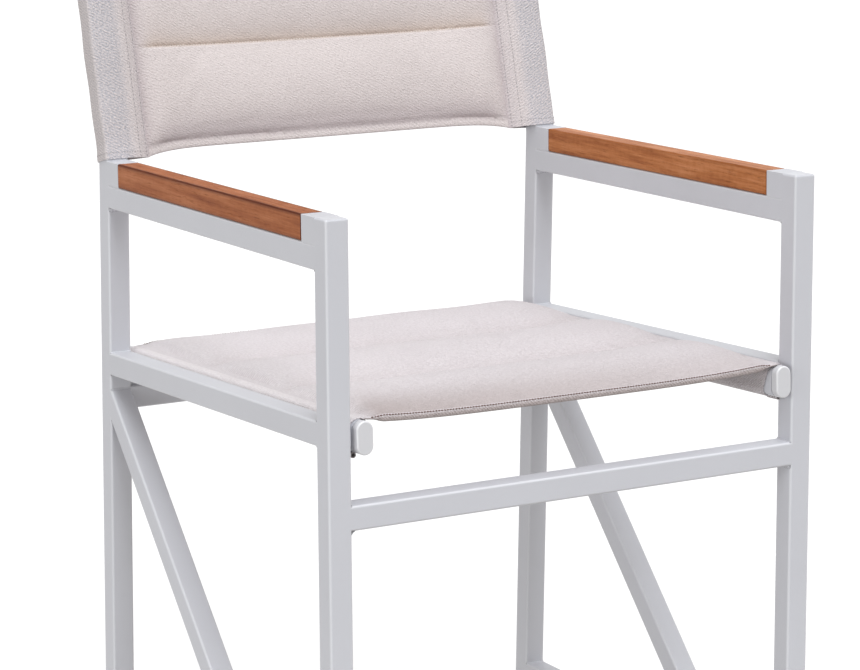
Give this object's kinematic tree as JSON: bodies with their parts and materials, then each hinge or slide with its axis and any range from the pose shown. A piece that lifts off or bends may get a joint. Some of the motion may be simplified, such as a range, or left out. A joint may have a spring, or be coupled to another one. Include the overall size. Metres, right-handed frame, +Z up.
{
  "type": "director's chair",
  "caption": "Welded square-tube chair with wooden armrests, a padded seat sling on side tubes and a padded back sling that slips over leaning posts.",
  "frame": {"origin": "on the floor, under the middle of the chair's box", "axes": "+Z up; the chair faces -Y; +X is the right-hand side as the picture shows it from the front"},
  "size_m": [0.5682, 0.6019, 0.9242],
  "materials": {
    "frame_coat": "satin",
    "white_plastic": "satin",
    "foot_plastic": "matte",
    "armrest_wood": "satin",
    "sling_fabric": "matte",
    "screw_steel": "satin"
  },
  "bodies": {
    "frame": {"front_rail": "frame_coat", "left_arm_front_block": "frame_coat", "left_arm_rail": "frame_coat", "left_arm_rear_block": "frame_coat", "left_armrest": "armrest_wood", "left_back_post": "frame_coat", "left_back_post_plug": "white_plastic", "left_base_rail": "frame_coat", "left_front_armrest_screw": "screw_steel", "left_front_foot": "foot_plastic", "left_front_leg": "frame_coat", "left_front_leg_cap": "white_plastic", "left_front_seat_lug": "frame_coat", "left_rear_armrest_screw": "screw_steel", "left_rear_foot": "foot_plastic", "left_rear_leg": "frame_coat", "left_rear_seat_lug": "frame_coat", "left_seat_rail": "frame_coat", "left_seat_tube": "frame_coat", "left_seat_tube_front_cap": "white_plastic", "left_seat_tube_rear_cap": "white_plastic", "left_side_brace": "frame_coat", "rear_rail": "frame_coat", "right_arm_front_block": "frame_coat", "right_arm_rail": "frame_coat", "right_arm_rear_block": "frame_coat", "right_armrest": "armrest_wood", "right_back_post": "frame_coat", "right_back_post_plug": "white_plastic", "right_base_rail": "frame_coat", "right_front_armrest_screw": "screw_steel", "right_front_foot": "foot_plastic", "right_front_leg": "frame_coat", "right_front_leg_cap": "white_plastic", "right_front_seat_lug": "frame_coat", "right_rear_armrest_screw": "screw_steel", "right_rear_foot": "foot_plastic", "right_rear_leg": "frame_coat", "right_rear_seat_lug": "frame_coat", "right_seat_rail": "frame_coat", "right_seat_tube": "frame_coat", "right_seat_tube_front_cap": "white_plastic", "right_seat_tube_rear_cap": "white_plastic", "right_side_brace": "frame_coat", "seat_sling": "sling_fabric"},
    "back_sling": {"back_sling": "sling_fabric"}
  },
  "joints": [
    {"name": "back_sling_lift", "type": "slide", "parent": "frame", "child": "back_sling", "axis": [0, 0.2487, 0.9686], "range_m": [0, 0.2]}
  ]
}
